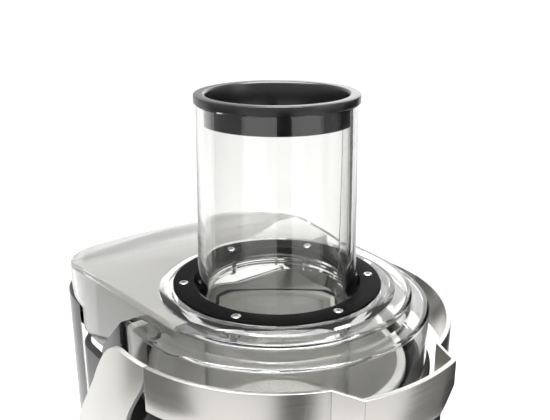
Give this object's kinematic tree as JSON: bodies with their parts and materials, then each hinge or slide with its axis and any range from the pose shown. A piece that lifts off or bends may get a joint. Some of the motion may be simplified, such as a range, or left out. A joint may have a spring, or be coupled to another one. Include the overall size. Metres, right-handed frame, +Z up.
{
  "type": "centrifugal juicer",
  "caption": "Centrifugal juicer with a clear whole-fruit feed tube and lid, a steel locking bow, a spinning sieve basket, a front spout and a rear pulp container.",
  "frame": {"origin": "centre of the footprint's box, on the surface under the feet", "axes": "+Z up, +Y towards the pulp container, -Y towards the spout and the dial, +X to the right seen from the front"},
  "size_m": [0.2226, 0.32, 0.407],
  "materials": {
    "black_plastic": "moulded semi-gloss black",
    "matte_black": "moulded matte black",
    "clear_plastic": "polished clear",
    "smoke_plastic": "polished smoke tint",
    "brushed_steel": "brushed along the length",
    "satin_silver": "fine satin",
    "light_grey": "moulded satin light grey",
    "steel": "plain machined",
    "copper": "lacquered winding wire",
    "circuit_board": "solder-masked board",
    "rubber": "moulded soft black"
  },
  "bodies": {
    "base": {"base_housing": "black_plastic", "steel_skirt": "brushed_steel", "base_plate": "matte_black", "foot_front_left": "rubber", "foot_front_right": "rubber", "foot_rear_left": "rubber", "foot_rear_right": "rubber", "base_screw_1": "steel", "base_screw_2": "steel", "base_screw_3": "steel", "base_screw_4": "steel", "cord_gland": "rubber", "motor_stator": "steel", "field_winding_upper": "copper", "field_winding_lower": "copper", "upper_bearing_bracket": "steel", "lower_bearing_bracket": "steel", "upper_bearing": "steel", "lower_bearing": "steel", "brush_holder_left": "matte_black", "brush_holder_right": "matte_black", "shaft_seal": "rubber", "dial_bezel": "satin_silver", "rotary_switch": "matte_black", "control_board": "circuit_board", "interlock_switch": "matte_black", "juice_bowl": "black_plastic", "bow_pin_left": "steel", "bow_pin_right": "steel", "pivot_cap_left": "satin_silver", "pivot_cap_right": "satin_silver"},
    "drive": {"motor_shaft": "steel", "armature": "steel", "commutator": "copper", "drive_coupling": "matte_black", "cooling_fan": "matte_black", "basket_base": "light_grey", "grating_disc": "light_grey", "sieve_cone": "brushed_steel", "basket_rim": "light_grey"},
    "lid": {"lid_cover": "clear_plastic", "feed_tube": "clear_plastic", "tube_rim": "black_plastic", "retaining_ring": "black_plastic", "ring_screw_1": "steel", "ring_screw_2": "steel", "ring_screw_3": "steel", "ring_screw_4": "steel", "ring_screw_5": "steel", "ring_screw_6": "steel", "tube_gasket": "rubber", "lid_latch_left": "black_plastic", "lid_latch_right": "black_plastic"},
    "bow": {"bow_band": "brushed_steel", "bow_arm_left": "satin_silver", "bow_arm_right": "satin_silver"},
    "dial": {"speed_dial": "black_plastic"},
    "container": {"pulp_container": "smoke_plastic"}
  },
  "joints": [
    {"name": "drive_spin", "type": "hinge", "parent": "base", "child": "drive", "pos_m": [0, -0.028, 0.18], "axis": [0, 0, 1], "continuous": true},
    {"name": "lid_lift", "type": "slide", "parent": "base", "child": "lid", "axis": [0, 0, 1], "range_m": [0, 0.13]},
    {"name": "bow_swing", "type": "hinge", "parent": "base", "child": "bow", "pos_m": [0, 0.042, 0.156], "axis": [1, 0, 0], "range_deg": [0, 35]},
    {"name": "dial_turn", "type": "hinge", "parent": "base", "child": "dial", "pos_m": [0, -0.13, 0.088], "axis": [0, 1, 0], "range_deg": [0, 120]},
    {"name": "container_slide", "type": "slide", "parent": "base", "child": "container", "axis": [0, 1, 0], "range_m": [0, 0.12]}
  ]
}
